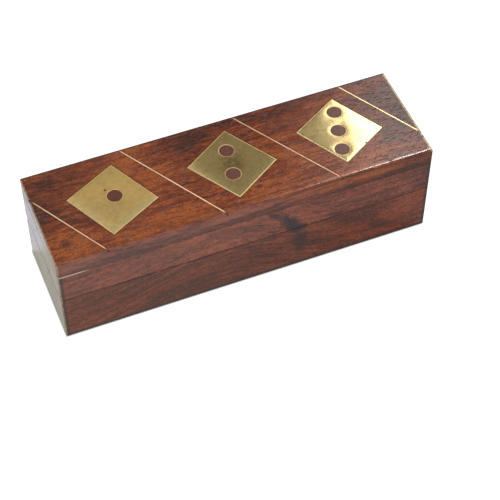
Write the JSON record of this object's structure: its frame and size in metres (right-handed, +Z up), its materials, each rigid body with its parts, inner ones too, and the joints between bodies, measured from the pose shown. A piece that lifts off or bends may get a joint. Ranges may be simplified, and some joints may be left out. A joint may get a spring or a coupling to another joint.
{
  "type": "dice box with hinged lid",
  "caption": "Long hardwood dice box, sawn into a tray and a hinged lid, its top inlaid with brass plates with round wooden pips and slanting brass strips.",
  "frame": {"origin": "centre of the base, where the box stands", "axes": "+X along the box to the right as seen from the front, +Y to the hinged back, +Z up; the lid is shut"},
  "size_m": [0.178, 0.0534, 0.0514],
  "materials": {
    "side_wood": "waxed rosewood, long grain, satin",
    "end_wood": "waxed rosewood of the end walls, satin",
    "top_wood": "waxed rosewood of the top board, satin",
    "base_wood": "plain rosewood, sanded",
    "pip_wood": "dark rosewood end grain, sanded flush",
    "inlay_brass": "brass sheet, sanded flush and buffed",
    "strip_brass": "brass strip, sanded flush",
    "hinge_brass": "stamped brass, bright"
  },
  "bodies": {
    "tray": {"tray_front_wall": "side_wood", "tray_back_wall": "side_wood", "tray_left_end": "end_wood", "tray_right_end": "end_wood", "tray_base_panel": "base_wood", "hinge_left_tray_leaf": "hinge_brass", "hinge_left_pin": "hinge_brass", "hinge_left_tray_nails": "hinge_brass", "hinge_right_tray_leaf": "hinge_brass", "hinge_right_pin": "hinge_brass", "hinge_right_tray_nails": "hinge_brass"},
    "lid": {"lid_front_wall": "side_wood", "lid_back_wall": "side_wood", "lid_left_end": "end_wood", "lid_right_end": "end_wood", "lid_top_board": "top_wood", "brass_plate_one": "inlay_brass", "brass_plate_two": "inlay_brass", "brass_plate_three": "inlay_brass", "pip_dowel_one": "pip_wood", "pip_dowels_two": "pip_wood", "pip_dowels_three": "pip_wood", "brass_strip_far_left": "strip_brass", "brass_strip_left": "strip_brass", "brass_strip_right": "strip_brass", "brass_strip_far_right": "strip_brass", "hinge_left_lid_leaf": "hinge_brass", "hinge_left_lid_nails": "hinge_brass", "hinge_right_lid_leaf": "hinge_brass", "hinge_right_lid_nails": "hinge_brass"}
  },
  "joints": [
    {"name": "lid_hinge", "type": "hinge", "parent": "tray", "child": "lid", "pos_m": [0, 0.0239, 0.0262], "axis": [-1, 0, 0], "range_deg": [0, 95]}
  ]
}
